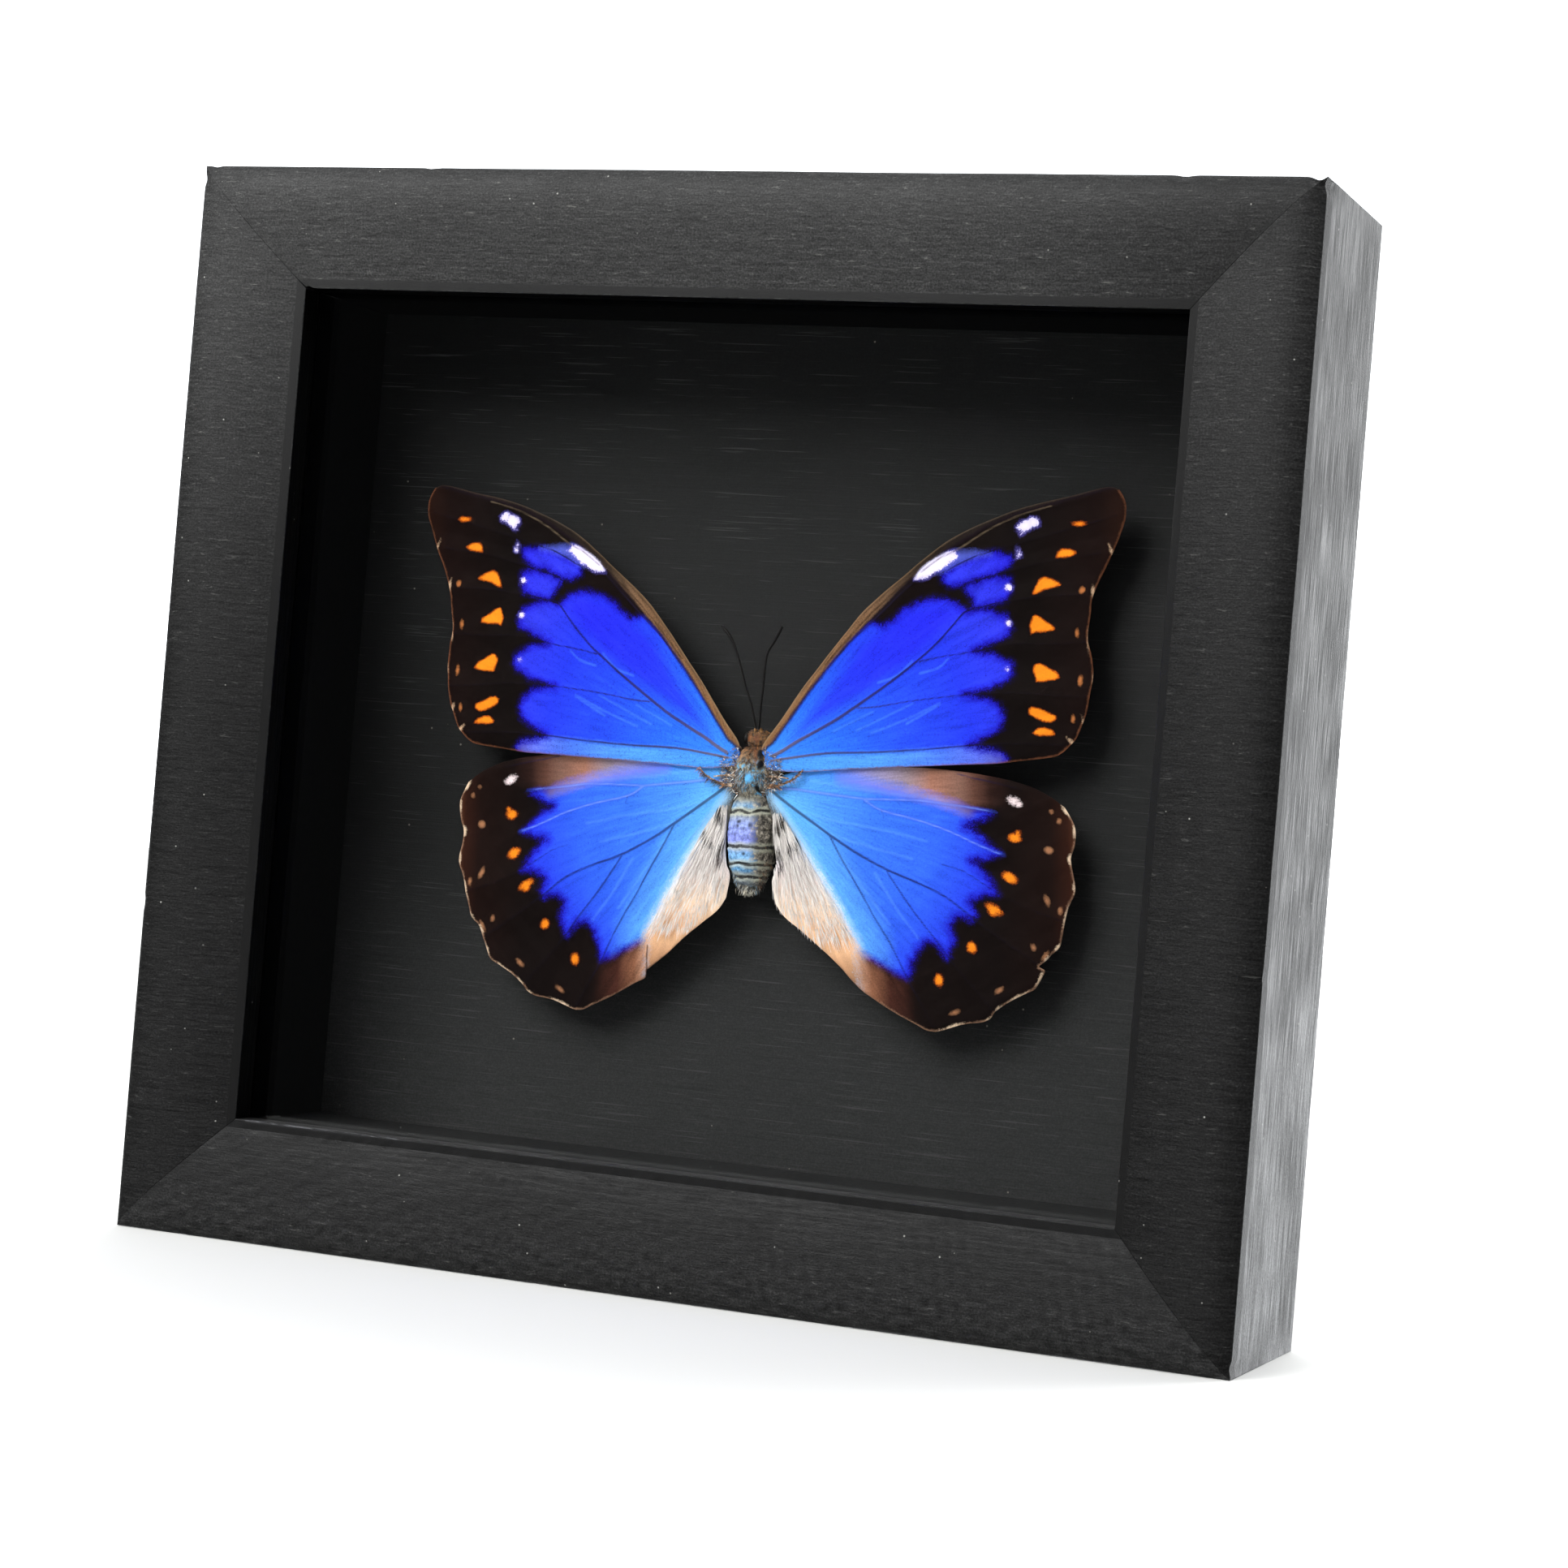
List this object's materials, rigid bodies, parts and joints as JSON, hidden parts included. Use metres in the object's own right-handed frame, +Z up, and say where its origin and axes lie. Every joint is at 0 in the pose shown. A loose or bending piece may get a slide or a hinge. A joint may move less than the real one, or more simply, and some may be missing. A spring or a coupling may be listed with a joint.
{
  "type": "framed butterfly specimen",
  "caption": "Dried butterfly with spread wings, glued to a black board behind glass in a deep black wooden shadow-box frame that stands on its flat edge or hangs on a wall.",
  "frame": {"origin": "centre of the bottom of the whole frame's box, on the surface that it stands on", "axes": "+Z up; -Y is the front, the way the glass faces; +X is the right side seen from the front"},
  "size_m": [0.22, 0.0474, 0.205],
  "materials": {
    "frame_wood": "matt black paint over open grain",
    "glass": "clear float glass",
    "spacer": "matt black",
    "board": "black, fine ribs",
    "fibreboard": "smooth brown hardboard",
    "steel": "bright zinc plate",
    "wing_scales": "satin blue scales with black margins and orange spots",
    "body_hair": "fine hair and scales, blue-grey and brown",
    "antenna": "dark horn"
  },
  "bodies": {
    "root": {"rail_top": "frame_wood", "rail_bottom": "frame_wood", "rail_left": "frame_wood", "rail_right": "frame_wood", "glass_pane": "glass", "spacer_top": "spacer", "spacer_bottom": "spacer", "spacer_left": "spacer", "spacer_right": "spacer", "backing_board": "board", "back_panel": "fibreboard", "point_top_left": "steel", "point_top_right": "steel", "point_bottom_left": "steel", "point_bottom_right": "steel", "point_left": "steel", "point_right": "steel", "hanger": "steel", "hanger_nail_left": "steel", "hanger_nail_right": "steel", "head": "body_hair", "thorax": "body_hair", "abdomen": "body_hair", "forewing_left": "wing_scales", "forewing_right": "wing_scales", "hindwing_left": "wing_scales", "hindwing_right": "wing_scales", "antenna_left": "antenna", "antenna_right": "antenna"}
  },
  "joints": []
}
